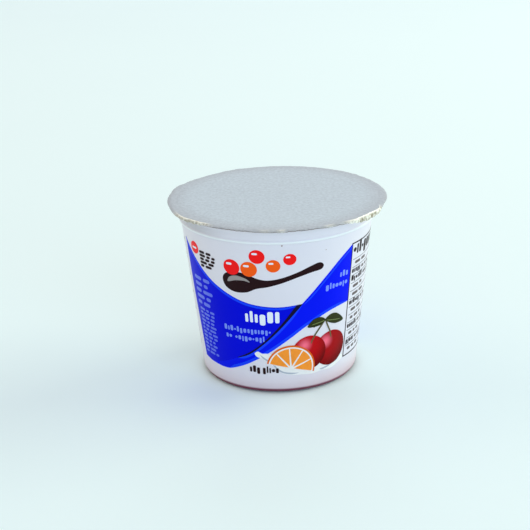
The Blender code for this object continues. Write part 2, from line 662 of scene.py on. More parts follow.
@dataclass(frozen=True)
class Fold:
    """A stretch of the lid's overhang that is pressed down beside the flange."""

    start: float
    deepest: float
    end: float
    depth: float

    def depth_at(self, azimuth: float) -> float:
        """Gives how far this fold presses the edge down at an azimuth."""
        if azimuth <= self.deepest:
            share = (azimuth - self.start) / (self.deepest - self.start)
        else:
            share = (self.end - azimuth) / (self.end - self.deepest)
        return self.depth * ease(share)


@dataclass(frozen=True)
class Corner:
    """A place where the lid's trimmed edge sticks out further than the rest."""

    azimuth: float
    reach: float
    spread: float

    def reach_at(self, azimuth: float) -> float:
        """Gives how far this corner sticks out at an azimuth."""
        away = (azimuth - self.azimuth + 180.0) % 360.0 - 180.0
        return self.reach * ease(1.0 - abs(away) / self.spread)


@dataclass
class Lid:
    """The sealing foil: flat over the pot, wavy and folded down round its edge."""

    top: float = 56.0 * MM
    radius: float = 33.85 * MM
    shift: float = 0.4 * MM
    thickness: float = 0.2 * MM
    flat_inset: float = 1.5 * MM
    folded_inset: float = 0.55 * MM
    full_fold: float = 0.75 * MM
    plain_droop: float = 0.3 * MM
    plain_turn: float = 48.0
    seal_radius: float = 31.4 * MM
    seal_width: float = 0.9 * MM
    seal_depth: float = 0.04 * MM
    bend_start: float = 32.4 * MM
    bend_rings: int = 12
    top_rings: int = 9
    seal_rings: int = 6
    segments: int = 1080
    smooth_angle: float = 50.0
    outline_wave: float = 0.35 * MM
    outline_waves: int = 7
    quiet_sides: int = 4
    crumple: float = 0.17 * MM
    crumple_widths: Point = (2.1 * MM, 0.9 * MM)
    crumple_weights: Point = (0.6, 0.4)
    crumple_sharpness: float = 1.5
    crumple_seed: float = 3.7
    crumple_drop: float = 0.4
    crumple_end: float = 0.8
    ragged: float = 0.15 * MM
    ragged_width: float = 0.8 * MM
    ragged_seed: float = 5.3
    ragged_plain: float = 0.45
    ripple: float = 0.07 * MM
    ripple_width: float = 3.0 * MM
    ripple_seed: float = 9.1
    dent: float = 0.05 * MM
    dent_width: float = 9.0 * MM
    # The crease's middle along the bend, and how far the painted highlight along it spreads
    crease_middle: float = 0.26
    crease_highlight_width: float = 0.24
    # Where the painted shade towards the lid's edge begins
    edge_shade_start: float = 26.0 * MM
    folded_gain: float = 3.0
    # How the painted shade in the folds' valleys grows past the crease and is broken into spots
    valley_gain: float = 2.5
    spot_size: float = 0.7 * MM
    valley_base: float = 0.35
    valley_crumple: float = 0.45
    valley_spots: float = 0.9
    folds: tuple[Fold, ...] = (
        Fold(-166.0, -138.0, -121.0, 0.75 * MM),
        Fold(-104.0, -97.0, -92.0, 0.3 * MM),
        Fold(-95.0, -88.5, -85.5, 0.4 * MM),
        Fold(-70.0, -64.0, -58.0, 0.35 * MM),
        Fold(-61.0, -37.0, -18.0, 1.6 * MM),
    )
    corners: tuple[Corner, ...] = (
        Corner(180.0, 0.25 * MM, 50.0),
        Corner(159.0, 0.6 * MM, 13.0),
        Corner(114.0, 0.35 * MM, 10.0),
        Corner(-28.0, 0.6 * MM, 11.0),
        Corner(-152.0, 0.6 * MM, 16.0),
        Corner(-125.0, 0.3 * MM, 6.0),
    )
    finishes: tuple[Finish, ...] = (
        TintedFinish(
            "Foil top",
            shade(194, 203, 209),
            roughness=0.58,
            metallic=0.42,
            variation=0.55,
            cloud_size=0.9 * MM,
            grain_size=0.5 * MM,
            relief=0.06 * MM,
            roughness_spread=0.2,
            tints=(
                # Painted shade, darker towards the lid's edge
                ("rim", shade(184, 189, 194)),
                ("folded", shade(236, 236, 226)),
                # Painted highlight along the crease
                ("crease", shade(255, 252, 240)),
                # Painted shade in the folds' valleys
                ("painted_fold_shade", shade(150, 142, 122)),
            ),
        ),
        Finish("Foil underside", shade(196, 186, 170), roughness=0.5, variation=0.3),
        # The cut edge's own brown, darkened to paint the shade under the lid's edge
        Finish("Foil cut edge with painted shade", shade(84, 66, 54), roughness=0.6, variation=3.6, cloud_size=0.9 * MM),
    )

    def drop(self, azimuth: float) -> float:
        """Gives how far the trimmed edge hangs below the lid's top at an azimuth."""
        return self.plain_droop + sum(fold.depth_at(azimuth) for fold in self.folds)

    def folded_share(self, azimuth: float) -> float:
        """Gives 0 where the overhang stands out flat and 1 where it is pressed down."""
        return ease((self.drop(azimuth) - self.plain_droop) / self.full_fold)

    def edge_radius(self, azimuth: float) -> float:
        """Gives the trimmed outline's radius, which waves and has a few blunt corners."""
        turn = math.radians(azimuth)
        fade = 0.5 - 0.5 * math.cos(self.quiet_sides * turn)
        wave = 0.5 - 0.5 * math.cos(self.outline_waves * turn)
        reach = sum(corner.reach_at(azimuth) for corner in self.corners)
        return self.radius - self.outline_wave * fade * wave + reach

    def unevenness(self, azimuth: float, width: float, seed: float) -> float:
        """Gives a smooth irregular wave round the edge, from about -1 to 1.

        Args:
            azimuth: Where on the edge, in degrees.
            width: The wave's usual width.
            seed: A number that makes one wave differ from another.

        Returns:
            The wave's value there.
        """
        turn = math.radians(azimuth)
        reach = self.radius / width
        return 2.0 * noise.noise(Vector((reach * math.cos(turn), reach * math.sin(turn), seed)))

    def crumple_at(self, azimuth: float) -> float:
        """Gives the sharp-crested creases of the folded foil, from about -1 to 1."""
        total = 0.0
        for width, weight in zip(self.crumple_widths, self.crumple_weights):
            wave = self.unevenness(azimuth, width, self.crumple_seed + width / MM)
            total += weight * (1.0 - 2.0 * min(1.0, self.crumple_sharpness * abs(wave)))
        return total

    def bend(self, azimuth: float, share: float) -> Point:
        """Gives a point of the overhang, which bends down along part of an ellipse.

        Args:
            azimuth: Where it is, in degrees.
            share: 0 at the crease and 1 at the trimmed edge.

        Returns:
            Its radius and height.
        """
        pressed = self.folded_share(azimuth)
        edge = self.edge_radius(azimuth)
        inset = self.flat_inset - (self.flat_inset - self.folded_inset) * pressed
        inset = min(inset, edge - self.bend_start)
        crumple = self.crumple * self.crumple_at(azimuth) * pressed
        ripple = self.ripple * self.unevenness(azimuth, self.ripple_width, self.ripple_seed)
        ragged = self.ragged * self.unevenness(azimuth, self.ragged_width, self.ragged_seed)
        ragged *= self.ragged_plain + (1.0 - self.ragged_plain) * pressed
        drop = self.drop(azimuth) + self.crumple_drop * crumple + ripple + ragged
        last = math.radians(self.plain_turn + (90.0 - self.plain_turn) * pressed)
        angle = last * share
        bulge = crumple * math.sin(math.pi * min(share, self.crumple_end))
        out = edge - inset + inset * math.sin(angle) / math.sin(last) + bulge
        return out, self.top - drop * (1.0 - math.cos(angle)) / (1.0 - math.cos(last))

    def build(self) -> bpy.types.Object:
        """Raises the flat sheet, presses its shape into it and gives it its thickness.

        Returns:
            The finished lid.
        """
        sheet = self.flat_sheet()
        self.press(sheet)
        solid = sheet.modifiers.new("Foil thickness", "SOLIDIFY")
        solid.thickness = self.thickness
        solid.offset = -1.0
        solid.material_offset = 1
        solid.material_offset_rim = 2
        dress(sheet, self.finishes)
        apply_modifiers(sheet)
        bpy.ops.object.shade_smooth_by_angle(angle=math.radians(self.smooth_angle))
        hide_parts("foil_lid")
        return sheet

    def flat_sheet(self) -> bpy.types.Object:
        """Raises the rings of the flat foil, closest together where it will bend.

        Returns:
            The flat sheet.
        """
        inner = self.seal_radius - self.seal_width
        body = TurnedBody("lid", self.segments, (inner / self.top_rings, self.top))
        body.cap()
        body.rings((inner * ring / self.top_rings, self.top) for ring in range(2, self.top_rings + 1))
        for step in range(1, self.seal_rings + 1):
            body.ring(inner + 2.0 * self.seal_width * step / self.seal_rings, self.top)
        reach = self.radius - self.bend_start
        for step in range(self.bend_rings + 1):
            body.ring(self.bend_start + reach * step / self.bend_rings, self.top)
        return body.done()

    def press(self, sheet: bpy.types.Object) -> None:
        """Moves each point of the flat sheet to where the pressed foil has it.

        Args:
            sheet: The flat sheet, which also gets one attribute for each tint.
        """
        mesh = sheet.data
        names = ("rim", "folded", "crease", "painted_fold_shade")
        tints = {name: [0.0] * len(mesh.vertices) for name in names}
        seal_end = self.seal_radius + self.seal_width
        for vertex in mesh.vertices:
            flat_radius = vertex.co.to_2d().length
            azimuth = math.degrees(math.atan2(vertex.co.y, vertex.co.x))
            # Painted shade, darker towards the lid's edge
            past_edge_shade_start = (flat_radius - self.edge_shade_start) / (self.radius - self.edge_shade_start)
            tints["rim"][vertex.index] = ease(past_edge_shade_start)
            if flat_radius < 0.5 * (seal_end + self.bend_start):
                off_seal = (flat_radius - self.seal_radius) / (0.5 * self.seal_width)
                dip = self.seal_depth * max(0.0, 1.0 - off_seal * off_seal)
                fade = ease((self.seal_radius - self.seal_width - flat_radius) / self.dent_width)
                dent = self.dent * noise.noise(vertex.co / self.dent_width)
                vertex.co.z = self.top - dip - fade * max(0.0, self.dent + 2.0 * dent)
                vertex.co.x += self.shift
                continue
            share = (flat_radius - self.bend_start) / (self.radius - self.bend_start)
            share = min(max(share, 0.0), 1.0)
            radius, height = self.bend(azimuth, share)
            turn = math.radians(azimuth)
            vertex.co = (radius * math.cos(turn) + self.shift, radius * math.sin(turn), height)
            pressed = self.folded_share(azimuth)
            # Painted shade in the folds' valleys, broken into spots by noise
            hollow = self.valley_base - self.valley_crumple * self.crumple_at(azimuth)
            hollow += self.valley_spots * noise.noise(vertex.co / self.spot_size)
            # Painted highlight along the crease of the folded foil
            on_crease_highlight = ease(1.0 - abs(share - self.crease_middle) / self.crease_highlight_width)
            tints["folded"][vertex.index] = pressed * ease(self.folded_gain * share)
            tints["crease"][vertex.index] = ease(pressed) * on_crease_highlight
            past_crease = ease(self.valley_gain * (share - self.crease_middle))
            tints["painted_fold_shade"][vertex.index] = pressed * min(max(hollow, 0.0), 1.0) * past_crease
        for name in names:
            mesh.attributes.new(name, "FLOAT", "POINT").data.foreach_set("value", tints[name])


class InkLayer:
    """One colour of the print: thin closed shapes that hug the wall."""

    MAP_NAME = "Drawing"
    STRIP = 1.0
    LEVEL = 0.02 * MM
    ROOTED = 0.05 * MM
    WELD = 0.001
    SMOOTH_ANGLE = 30.0

    def __init__(self, wall: Wall, name: str, level: int) -> None:
        """Names the layer.

        Args:
            wall: What it is printed on.
            name: The object's name.
            level: How many layers up it lies, from 1.
        """
        self.wall = wall
        self.name = name
        self.lift = level * self.LEVEL

    def build(self, shapes: Sequence[Sequence[Point]], finish: Finish) -> bpy.types.Object:
        """Fills the flat shapes, slices them, wraps them and gives them thickness.

        Args:
            shapes: Closed outlines in the drawing's millimetres.
            finish: The ink.

        Returns:
            The finished layer.
        """
        layer = self.fill(shapes)
        self.slice(layer)
        self.wrap(layer)
        solid = layer.modifiers.new("Ink thickness", "SOLIDIFY")
        solid.thickness = self.lift + self.ROOTED
        solid.offset = -1.0
        apply_modifiers(layer)
        bpy.ops.object.shade_smooth_by_angle(angle=math.radians(self.SMOOTH_ANGLE))
        dress(layer, [finish])
        return layer

    def fill(self, shapes: Sequence[Sequence[Point]]) -> bpy.types.Object:
        """Fills the outlines as a flat curve and makes it a mesh that faces +Z.

        Args:
            shapes: Closed outlines in the drawing's millimetres.

        Returns:
            The flat mesh.
        """
        drawing = bpy.data.curves.new(self.name, "CURVE")
        drawing.dimensions = "2D"
        drawing.fill_mode = "BOTH"
        for shape in shapes:
            spline = drawing.splines.new("POLY")
            spline.points.add(len(shape) - 1)
            for point, (across, up) in zip(spline.points, shape):
                point.co = (across, up, 0.0, 1.0)
            spline.use_cyclic_u = True
        layer = bpy.data.objects.new(self.name, drawing)
        bpy.context.scene.collection.objects.link(layer)
        choose(layer)
        bpy.ops.object.convert(target="MESH")
        layer = bpy.context.object
        bpy.ops.object.mode_set(mode="EDIT")
        bpy.ops.mesh.select_all(action="SELECT")
        bpy.ops.mesh.remove_doubles(threshold=self.WELD)
        if layer.data.polygons[0].normal.z < 0.0:
            bpy.ops.mesh.flip_normals()
        bpy.ops.object.mode_set(mode="OBJECT")
        return layer

    def slice(self, layer: bpy.types.Object) -> None:
        """Cuts the flat mesh into upright strips, so that it can follow the wall.

        Args:
            layer: The flat mesh.
        """
        spans = [vertex.co.x for vertex in layer.data.vertices]
        first = math.floor(min(spans) / self.STRIP) + 1
        last = math.ceil(max(spans) / self.STRIP)
        choose(layer)
        bpy.ops.object.mode_set(mode="EDIT")
        for cut in range(first, last):
            bpy.ops.mesh.select_all(action="SELECT")
            place = (cut * self.STRIP, 0.0, 0.0)
            bpy.ops.mesh.bisect(plane_co=place, plane_no=(1.0, 0.0, 0.0))
        bpy.ops.object.mode_set(mode="OBJECT")

    def wrap(self, layer: bpy.types.Object) -> None:
        """Keeps the drawing as a map and lays each point on the wall.

        Args:
            layer: The flat mesh, cut into strips.
        """
        mesh = layer.data
        drawing = mesh.uv_layers.new(name=self.MAP_NAME)
        for loop in mesh.loops:
            flat = mesh.vertices[loop.vertex_index].co
            drawing.data[loop.index].uv = (flat.x, flat.y)
        for vertex in mesh.vertices:
            vertex.co = self.wall.place(vertex.co.x, vertex.co.y, self.lift)


def smooth_run(knots: Sequence[Point], steps: int = CURVE_STEPS) -> list[Point]:
    """Draws a smooth line through knots.

    Args:
        knots: The points that it passes through.
        steps: How many steps to take between two knots.

    Returns:
        The line's points, both ends included.
    """
    ends = [knots[0], *knots, knots[-1]]
    points = []
    for before, start, end, after in zip(ends, ends[1:], ends[2:], ends[3:]):
        points += _span(before, start, end, after, steps)
    return points + [knots[-1]]


def _span(before: Point, start: Point, end: Point, after: Point, steps: int) -> list[Point]:
    """Draws the stretch of a smooth line between its two middle knots, without its end."""
    axes = list(zip(before, start, end, after))
    return [tuple(_blend_knots(step / steps, *axis) for axis in axes) for step in range(steps)]


def _blend_knots(share: float, before: float, start: float, end: float, after: float) -> float:
    """Gives one coordinate of a smooth curve between its two middle knots."""
    first = end - before
    second = 2.0 * before - 5.0 * start + 4.0 * end - after
    third = 3.0 * (start - end) + after - before
    return start + 0.5 * share * (first + share * (second + share * third))


def smooth_loop(knots: Sequence[Point]) -> list[Point]:
    """Draws a smooth closed line through knots."""
    points = []
    for before, start, end, after in zip(knots[-1:] + knots, knots, knots[1:] + knots, knots[2:] + knots):
        points += _span(before, start, end, after, CURVE_STEPS)
    return points


def bar(left: float, bottom: float, width: float, height: float) -> list[Point]:
    """Draws a bar with round ends.

    Args:
        left: Its left end.
        bottom: Its lower edge.
        width: Its length.
        height: Its height.

    Returns:
        The bar's outline.
    """
    radius = min(height, width) / 2.0
    middle = bottom + height / 2.0
    right_end = arc_points((left + width - radius, middle), radius, -90, 90)
    left_end = arc_points((left + radius, middle), radius, 90, 270)
    return right_end + left_end


def box(left: float, bottom: float, width: float, height: float) -> list[Point]:
    """Draws a plain rectangle."""
    right, top = left + width, bottom + height
    return [(left, bottom), (right, bottom), (right, top), (left, top)]


def disc(centre: Point, radius: float, steps: int = 40) -> list[Point]:
    """Draws a circle."""
    return arc_points(centre, radius, 0, 360, steps)[:-1]


@dataclass
class WordBars:
    """Lines of short bars that stand where a pack has small text."""

    left: float
    top: float
    width: float
    lines: int
    size: float
    pitch: float
    seed: int
    ragged: float = 0.3
    word: tuple[float, float] = (1.6, 4.2)
    gap: float = 0.9

    def shapes(self) -> list[list[Point]]:
        """Lays the bars out, word by word and line by line.

        Returns:
            The outline of each bar.
        """
        draw = random.Random(self.seed)
        shapes = []
        for line in range(self.lines):
            bottom = self.top - self.size - line * self.pitch
            end = self.left + self.width * (1.0 - self.ragged * draw.random())
            at = self.left
            while at < end - self.word[0] * self.size:
                length = min(draw.uniform(*self.word) * self.size, end - at)
                shapes.append(bar(at, bottom, length, self.size))
                at += length + self.gap * self.size
        return shapes


@dataclass
class BlockRow:
    """A row of upright blocks that stands where a pack has a larger line of text."""

    left: float
    bottom: float
    width: float
    height: float
    block: float
    gap: float

    WIDTHS = (0.7, 1.0, 1.35)
    KINDS = ("low", "low", "round", "tall", "deep")
    ROUND_WIDTH = 1.25
    ROUND_HEIGHT = 0.8
    ABOVE = 0.34
    BELOW = 0.3

    def shapes(self) -> list[list[Point]]:
        """Lays the blocks out from left to right, of a few widths, heights and shapes.

        Returns:
            The outline of each block.
        """
        draw = random.Random(round(100.0 * (self.left + self.bottom)))
        count = max(1, round((self.width + self.gap) / (self.block + self.gap)))
        shares = [draw.choice(self.WIDTHS) for _ in range(count)]
        scale = (self.width - self.gap * (count - 1)) / sum(shares)
        shapes = []
        at = self.left
        for share in shares:
            wide = share * scale
            kind = draw.choice(self.KINDS)
            if kind == "round":
                radius = 0.5 * min(self.ROUND_WIDTH * wide, self.ROUND_HEIGHT * self.height)
                shapes.append(disc((at + 0.5 * wide, self.bottom + 0.5 * self.height), radius, 16))
            else:
                below = self.BELOW * self.height if kind == "deep" else 0.0
                above = self.ABOVE * self.height if kind == "tall" else 0.0
                shapes.append(upright(at, self.bottom - below, wide, self.height + below + above))
            at += wide + self.gap
        return shapes


def upright(left: float, bottom: float, width: float, height: float) -> list[Point]:
    """Draws an upright block with rounded corners.

    Args:
        left: Its left side.
        bottom: Its lower edge.
        width: Its width.
        height: Its height.

    Returns:
        The block's outline.
    """
    corner = CORNER_SHARE * min(width, height)
    right, top = left + width - corner, bottom + height - corner
    low_left = (left + corner, bottom + corner)
    corners = (((right, low_left[1]), -90), ((right, top), 0), ((low_left[0], top), 90), (low_left, 180))
    shapes = [arc_points(centre, corner, start, start + 90, 3) for centre, start in corners]
    return [point for run in shapes for point in run]


def between(first: Sequence[Point], second: Sequence[Point]) -> list[Point]:
    """Closes the area between two smooth lines that run the same way."""
    return smooth_run(first) + smooth_run(second[::-1])


def beside(run: Sequence[Point], near: float, far: float) -> list[Point]:
    """Draws a strip on the right-hand side of a line, which tapers at both ends.

    Args:
        run: The line's knots.
        near: How far the strip's near edge is from the line.
        far: How far its far edge is from the line.

    Returns:
        The strip's outline.
    """
    points = smooth_run(run)
    last = len(points) - 1
    sides = ([], [])
    for index, (across, up) in enumerate(points):
        before, after = points[max(index - 1, 0)], points[min(index + 1, last)]
        along = Vector((after[0] - before[0], after[1] - before[1])).normalized()
        taper = min(1.0, TAPER_TIP + min(index, last - index) / (TAPER_SHARE * last))
        for side, away in zip(sides, (near, near + (far - near) * taper)):
            side.append((across + along.y * away, up - along.x * away))
    return sides[0] + sides[1][::-1]


class Ink(Enum):
    """The inks of the print."""

    FIELD = Finish(
        "Blue ink", shade(0, 10, 218), roughness=0.35, variation=0.14, cloud_size=14 * MM, specular=0.04
    )
    RIBBON = Finish("Bright blue ink", shade(0, 22, 240), roughness=0.35, variation=0.06, specular=0.04)
    STRIP = Finish("Light blue ink", shade(20, 68, 252), roughness=0.35, specular=0.05)
    NIGHT = Finish("Navy ink", shade(8, 0, 46), roughness=0.35, specular=0.1)
    WHITE = Finish("White ink", shade(234, 241, 252), variation=0.03)
    PALE = Finish("Pale blue ink", shade(112, 142, 244))
    FAINT = Finish("Faint blue ink", shade(78, 102, 234))
    BLACK = Finish("Black ink", shade(34, 6, 12), roughness=0.35, variation=0.1, specular=0.1)
    SMALL = Finish("Brown ink", shade(70, 48, 50), variation=0.1)
    DIRT = Finish("Brown dirt", shade(146, 118, 108), roughness=0.6, specular=0.2)
    GREY = Finish("Grey ink", shade(150, 142, 140))
    RED = Finish("Red ink", shade(252, 8, 12), roughness=0.35, specular=0.15)
    ORANGE = Finish("Orange ink", shade(254, 92, 4), roughness=0.35, specular=0.15)
    CREAM = Finish("Cream ink", shade(240, 240, 238), variation=0.12, cloud_size=3 * MM)
    SHADE = Finish("Grey tint", shade(176, 182, 196), variation=0.1, cloud_size=2 * MM)
    RIND = Finish(
        "Rind ink", shade(226, 100, 4), roughness=0.35, specular=0.2, variation=0.15, cloud_size=2 * MM
    )
    PULP = Finish(
        "Pulp ink", shade(252, 150, 44), roughness=0.35, specular=0.2, variation=0.35, cloud_size=1.5 * MM
    )
    LEAF = Finish(
        "Leaf ink", shade(44, 50, 8), roughness=0.35, specular=0.15, variation=0.5, cloud_size=1.5 * MM
    )
    VEIN = Finish("Vein ink", shade(112, 128, 62))
    STALK = Finish("Stalk ink", shade(86, 80, 30))
    NEAR_CHERRY = RoundInk("Cherry ink", shade(190, 4, 16), highlight=(7.6, 16.2), reach=10.2)
    FAR_CHERRY = RoundInk("Dark cherry ink", shade(166, 2, 10), highlight=(14.9, 16.2), reach=11.0)


@dataclass
class Picture:
    """A stack of ink layers that can be printed again further round the wall."""

    wall: Wall = Wall()
    layers: list[bpy.types.Object] = field(default_factory=list)

    def print_layer(self, name: str, level: int, shapes: Sequence[list[Point]], ink: Ink) -> None:
        """Prints one layer of closed outlines, so many layers up, and keeps it."""
        self.layers.append(InkLayer(self.wall, name, level).build(shapes, ink.value))

    def repeat(self, shift: float) -> None:
        """Prints every layer once more, further round to the right.

        Args:
            shift: How far round, in the drawing's millimetres.
        """
        turn = Matrix.Rotation(shift / self.wall.drawing_radius, 4, "Z")
        for layer in list(self.layers):
            deselect_all()
            again = layer.copy()
            again.data = layer.data.copy()
            again.name = layer.name + "_back"
            bpy.context.scene.collection.objects.link(again)
            again.data.transform(turn)
            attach(again, ROOT)


@dataclass
class BlueFields(Picture):
    """The blue field, the ribbon across it, and the strips along their edges."""

    tuck: float = 0.3

    ARC = (
        (-34.0, 46.7), (-29.3, 42.2), (-23.8, 37.6), (-19.2, 34.7), (-13.1, 31.9), (-7.6, 30.4),
        (-0.5, 29.8), (6.6, 30.4),
    )
    UPPER = ((6.6, 30.4), (10.1, 34.2), (13.8, 38.2), (17.8, 42.1), (20.8, 44.4), (23.3, 46.0))
    LOWER = (
        (23.3, 27.4), (19.1, 27.0), (14.5, 25.9), (8.5, 23.0), (2.9, 19.0), (-4.0, 14.0), (-11.0, 9.8),
        (-15.7, 7.7), (-18.3, 6.8),
    )
    SHADOW_UPPER = (
        (-14.6, 11.5), (-10.3, 13.8), (-6.2, 17.0), (-2.3, 20.9), (1.4, 25.3), (4.4, 29.5),
        (5.1, 30.15), (6.6, 30.35),
    )
    SHADOW_LOWER = ((-14.6, 11.3), (-10.4, 13.1), (-6.2, 16.3), (-2.3, 20.0), (1.4, 24.0), (6.6, 30.2))
    SEAM_START = ((-27.8, 6.8), (-25.0, 7.4), (-22.0, 8.2), (-18.3, 9.6))
    BOTTOM = ((-18.3, 6.8), (-21.1, 6.6), (-24.2, 6.7), (-27.8, 6.8), (-31.7, 7.2))
    LEFT = ((-31.7, 7.2), (-32.9, 19.8), (-33.8, 30.8), (-34.0, 46.7))
    STRIPS = ((ARC, 0.25, 0.95), (UPPER, 0.55, 1.05), (LOWER, 0.1, 0.95), (SHADOW_LOWER, 0.0, 0.75))

    def build(self) -> None:
        """Prints the field, the ribbon, the dark line between them and the strips."""
        seam = self.SEAM_START + self.SHADOW_LOWER
        under = [(across, up - self.tuck) for across, up in seam[:0:-1]] + [seam[0]]
        edges = (self.ARC, under, self.BOTTOM[3:], self.LEFT)
        outline = [point for edge in edges for point in smooth_run(edge)[:-1]]
        self.print_layer("ink_field", 1, [outline], Ink.FIELD)
        foot = smooth_run(self.BOTTOM[:4])[1:-1]
        ribbon = smooth_run(seam)[:-1] + smooth_run(self.UPPER) + smooth_run(self.LOWER) + foot
        self.print_layer("ink_ribbon", 2, [ribbon], Ink.RIBBON)
        strips = [beside(*strip) for strip in self.STRIPS]
        self.print_layer("ink_strips", 3, strips, Ink.STRIP)
        self.print_layer("ink_shadow", 4, [between(self.SHADOW_UPPER, self.SHADOW_LOWER)], Ink.NIGHT)


@dataclass
class FrontBars(Picture):
    """The rows of blocks and bars that stand for the front's text."""

    HEADLINE = (BlockRow(-10.6, 24.5, 10.4, 2.8, 1.2, 0.6),)
    PALE_ROWS = (
        BlockRow(-18.4, 20.6, 15.4, 1.35, 0.7, 0.42),
        BlockRow(-18.0, 18.0, 2.0, 1.35, 0.7, 0.42),
        BlockRow(-14.6, 18.0, 9.6, 1.35, 0.7, 0.42),
        BlockRow(19.0, 36.6, 3.2, 1.5, 0.75, 0.42),
        BlockRow(14.0, 33.6, 8.2, 1.5, 0.75, 0.42),
    )
    FAINT_ROWS = (
        WordBars(-31.0, 35.4, 10.5, 5, 1.15, 2.1, seed=5, ragged=0.35),
        WordBars(-30.4, 24.6, 8.2, 12, 0.75, 1.32, seed=8, ragged=0.12),
    )
    DARK_ROWS = (
        BlockRow(-10.4, 7.2, 3.4, 1.7, 0.8, 0.4),
        BlockRow(-6.0, 7.2, 5.2, 1.7, 0.8, 0.4),
        WordBars(-25.6, 44.9, 6.8, 5, 0.76, 1.12, seed=3, ragged=0.1),
    )
    BUTTON = (disc((-28.1, 45.0), 2.0),)
    BUTTON_BAR = (bar(-29.2, 44.7, 2.2, 0.6),)
    SPECKS = (disc((0.9, 49.9), 0.22, 10), disc((13.4, 47.0), 0.13, 10))

    def build(self) -> None:
        """Prints the rows on the blue, the dark rows, the button and the dirt."""
        for name, level, rows, ink in (
            ("ink_headline", 3, self.HEADLINE, Ink.WHITE),
            ("ink_pale_rows", 3, self.PALE_ROWS, Ink.PALE),
            ("ink_faint_rows", 3, self.FAINT_ROWS, Ink.FAINT),
            ("ink_dark_rows", 6, self.DARK_ROWS, Ink.BLACK),
        ):
            self.print_layer(name, level, [shape for row in rows for shape in row.shapes()], ink)
        self.print_layer("ink_button", 3, self.BUTTON, Ink.RED)
        self.print_layer("dirt_specks", 1, self.SPECKS, Ink.DIRT)
        self.print_layer("ink_button_bar", 4, self.BUTTON_BAR, Ink.WHITE)


@dataclass
class SpoonMark(Picture):
    """The spoon with five berries that fills the large white place."""

    SPOON = (
        (-17.0, 37.6), (-16.2, 39.6), (-13.4, 40.8), (-9.6, 40.5), (-6.4, 39.2), (-3.4, 38.7),
        (0.6, 39.4), (5.2, 41.0), (9.0, 42.6), (11.6, 43.3), (12.9, 42.3), (12.2, 41.0), (9.4, 40.5),
        (5.4, 39.4), (0.6, 37.7), (-3.4, 36.5), (-6.6, 35.8), (-9.6, 34.4), (-13.2, 34.1),
        (-16.0, 35.3),
    )
    HOLLOW = (
        (-15.3, 37.3), (-14.6, 38.9), (-12.4, 39.6), (-9.6, 38.9), (-8.4, 37.8), (-10.2, 38.2),
        (-12.8, 38.0),
    )
    RED_BERRIES = ((-13.7, 42.2, 2.5), (-6.0, 46.3, 2.2), (3.0, 45.4, 1.8))
    ORANGE_BERRIES = ((-8.5, 42.1, 2.4), (-1.6, 43.4, 2.0))
    GLINT = (-0.62, 0.28, 0.7, 0.28)

    def build(self) -> None:
        """Prints the spoon, the light in its hollow, the berries and their glints."""
        self.print_layer("ink_spoon", 1, [smooth_loop(self.SPOON)], Ink.BLACK)
        self.print_layer("ink_spoon_light", 2, [smooth_loop(self.HOLLOW)], Ink.GREY)
        kinds = (("red", self.RED_BERRIES, Ink.RED), ("orange", self.ORANGE_BERRIES, Ink.ORANGE))
        for name, berries, ink in kinds:
            discs = [disc((across, up), radius) for across, up, radius in berries]
            self.print_layer("ink_berries_" + name, 3, discs, ink)
        left, bottom, width, height = self.GLINT
        glints = [
            bar(across + left * radius, up + bottom * radius, width * radius, height * radius)
            for across, up, radius in self.RED_BERRIES + self.ORANGE_BERRIES
        ]
        self.print_layer("ink_glints", 4, glints, Ink.WHITE)


